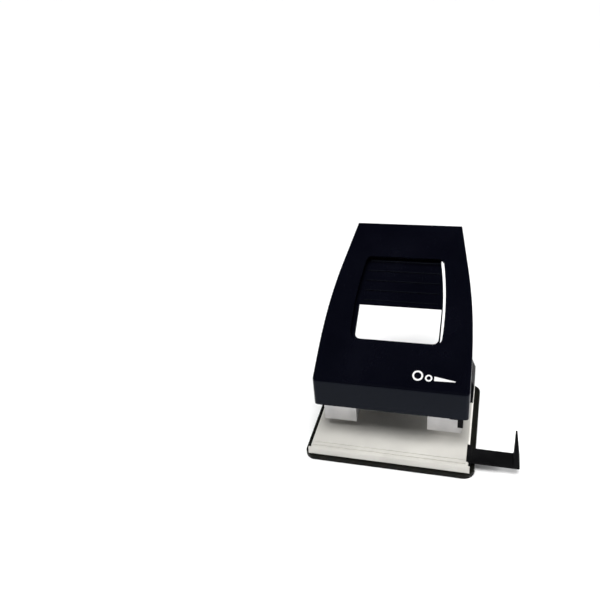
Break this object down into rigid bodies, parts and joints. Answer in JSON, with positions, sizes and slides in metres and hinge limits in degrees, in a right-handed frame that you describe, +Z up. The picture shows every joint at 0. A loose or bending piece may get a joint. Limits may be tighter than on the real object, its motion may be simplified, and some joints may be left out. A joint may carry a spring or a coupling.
{
  "type": "hole punch",
  "caption": "Desk punch that makes filing holes in paper: chip tray, steel base with punch heads, windowed lever handle, sliding paper guide and a catch.",
  "frame": {"origin": "middle of the chip tray's underside, on the table", "axes": "+X towards the paper guide, +Y from the paper side to the back, +Z up"},
  "size_m": [0.1595, 0.1395, 0.139],
  "materials": {
    "tray_plastic": "satin moulded",
    "foot_rubber": "matte",
    "plate_paint": "satin silver-grey paint",
    "head_steel": "satin",
    "bright_steel": "polished",
    "spring_steel": "drawn wire",
    "handle_gloss": "gloss moulded",
    "black_plastic": "satin moulded"
  },
  "bodies": {
    "tray": {"chip_tray": "tray_plastic", "tray_hinge_pin": "bright_steel", "tray_foot_front_left": "foot_rubber", "tray_foot_rear_left": "foot_rubber", "tray_foot_front_right": "foot_rubber", "tray_foot_rear_right": "foot_rubber"},
    "base": {"base_plate": "plate_paint", "pivot_axle": "bright_steel", "rear_housing": "black_plastic", "guide_bush": "black_plastic", "guide_rail": "head_steel", "guide_leaf": "spring_steel", "die_left": "bright_steel", "punch_head_left": "head_steel", "head_rivet_left_inner": "bright_steel", "head_rivet_left_outer": "bright_steel", "axle_clip_left": "spring_steel", "return_spring_left": "spring_steel", "housing_screw_left": "bright_steel", "die_right": "bright_steel", "punch_head_right": "head_steel", "head_rivet_right_inner": "bright_steel", "head_rivet_right_outer": "bright_steel", "axle_clip_right": "spring_steel", "return_spring_right": "spring_steel", "housing_screw_right": "bright_steel"},
    "handle": {"handle_shell": "handle_gloss", "grip_panel": "handle_gloss", "lever_frame": "head_steel", "press_bar": "bright_steel", "frame_screw_left": "bright_steel", "panel_screw_left": "bright_steel", "frame_screw_right": "bright_steel", "panel_screw_right": "bright_steel"},
    "pin_left": {"punch_pin_left": "bright_steel", "spring_cup_left": "head_steel"},
    "pin_right": {"punch_pin_right": "bright_steel", "spring_cup_right": "head_steel"},
    "guide": {"paper_guide": "black_plastic"},
    "catch": {"lock_catch": "black_plastic"}
  },
  "joints": [
    {"name": "tray_hinge", "type": "hinge", "parent": "tray", "child": "base", "pos_m": [0, 0.0512, 0.0065], "axis": [-1, 0, 0], "range_deg": [0, 40]},
    {"name": "handle_press", "type": "hinge", "parent": "base", "child": "handle", "pos_m": [0, -0.0187, 0.053], "axis": [-1, 0, 0], "range_deg": [0, 26.2], "stiffness_Nm_per_rad": 2, "springref_deg": -28.65},
    {"name": "pin_left_slide", "type": "slide", "parent": "base", "child": "pin_left", "axis": [0, 0, -1], "range_m": [0, 0.0119], "deforming": ["return_spring_left"]},
    {"name": "pin_right_slide", "type": "slide", "parent": "base", "child": "pin_right", "axis": [0, 0, -1], "range_m": [0, 0.0119], "deforming": ["return_spring_right"]},
    {"name": "guide_slide", "type": "slide", "parent": "base", "child": "guide", "axis": [1, 0, 0], "range_m": [-0.0295, 0.02]},
    {"name": "catch_slide", "type": "slide", "parent": "handle", "child": "catch", "axis": [-1, 0, 0], "range_m": [0, 0.006]}
  ],
  "couplings": [
    {"joint": "pin_left_slide", "follows": "handle_press", "m_per_rad": 0.0258},
    {"joint": "pin_right_slide", "follows": "handle_press", "m_per_rad": 0.0258}
  ]
}
